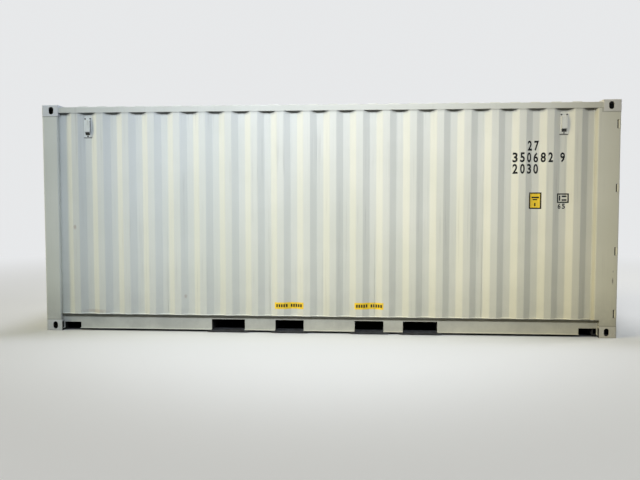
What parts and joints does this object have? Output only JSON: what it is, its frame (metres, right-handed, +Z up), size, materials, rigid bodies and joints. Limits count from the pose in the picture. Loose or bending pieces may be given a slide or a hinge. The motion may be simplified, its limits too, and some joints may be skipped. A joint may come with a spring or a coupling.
{
  "type": "shipping container",
  "caption": "Corrugated steel freight container with hinged end doors, fork pockets and corner castings with twistlock apertures.",
  "frame": {"origin": "middle of the base, on the plane of the bottom castings' lower faces", "axes": "+X along the length towards the doors, +Y towards the right side seen from the doors, +Z up"},
  "size_m": [6.058, 2.438, 2.438],
  "materials": {
    "frame_paint": "semi-gloss cream grey paint with dirt",
    "panel_paint": "semi-gloss cream grey paint with dirt",
    "floor_board": "oiled plywood, scuffed",
    "bare_steel": "worn steel",
    "zinc": "galvanised, dull",
    "seal_rubber": "matt black rubber",
    "vent_plastic": "matt light grey plastic"
  },
  "bodies": {
    "container": {"bottom_castings_left": "frame_paint", "bottom_castings_right": "frame_paint", "top_castings_left": "frame_paint", "top_castings_right": "frame_paint", "front_post_left": "frame_paint", "front_post_right": "frame_paint", "rear_post_left": "frame_paint", "rear_post_right": "frame_paint", "rear_post_channels": "frame_paint", "bottom_rail_left": "frame_paint", "bottom_rail_right": "frame_paint", "top_rail_left": "frame_paint", "top_rail_right": "frame_paint", "front_sill": "frame_paint", "front_header": "frame_paint", "front_wall": "panel_paint", "left_wall": "panel_paint", "right_wall": "panel_paint", "roof": "panel_paint", "roof_corner_plates": "panel_paint", "door_header": "frame_paint", "door_sill": "frame_paint", "cross_members": "frame_paint", "fork_pocket_plates": "frame_paint", "floor_boards": "floor_board", "floor_bar": "bare_steel", "ventilators": "vent_plastic", "hinge_lugs": "frame_paint", "cam_keepers": "frame_paint", "lashing_rings": "zinc"},
    "left_door": {"left_door_frame": "frame_paint", "left_door_panel": "panel_paint", "left_door_seal": "seal_rubber", "left_door_hinges": "frame_paint", "left_lock_rods": "zinc", "left_rod_brackets": "zinc", "left_lock_handles": "zinc"},
    "right_door": {"right_door_frame": "frame_paint", "right_door_panel": "panel_paint", "right_door_seal": "seal_rubber", "right_door_hinges": "frame_paint", "right_lock_rods": "zinc", "right_rod_brackets": "zinc", "right_lock_handles": "zinc"}
  },
  "joints": [
    {"name": "left_door_swing", "type": "hinge", "parent": "container", "child": "left_door", "pos_m": [3.013, -1.203, 1.2], "axis": [0, 0, -1], "range_deg": [0, 270]},
    {"name": "right_door_swing", "type": "hinge", "parent": "container", "child": "right_door", "pos_m": [3.013, 1.203, 1.2], "axis": [0, 0, 1], "range_deg": [0, 270]}
  ]
}
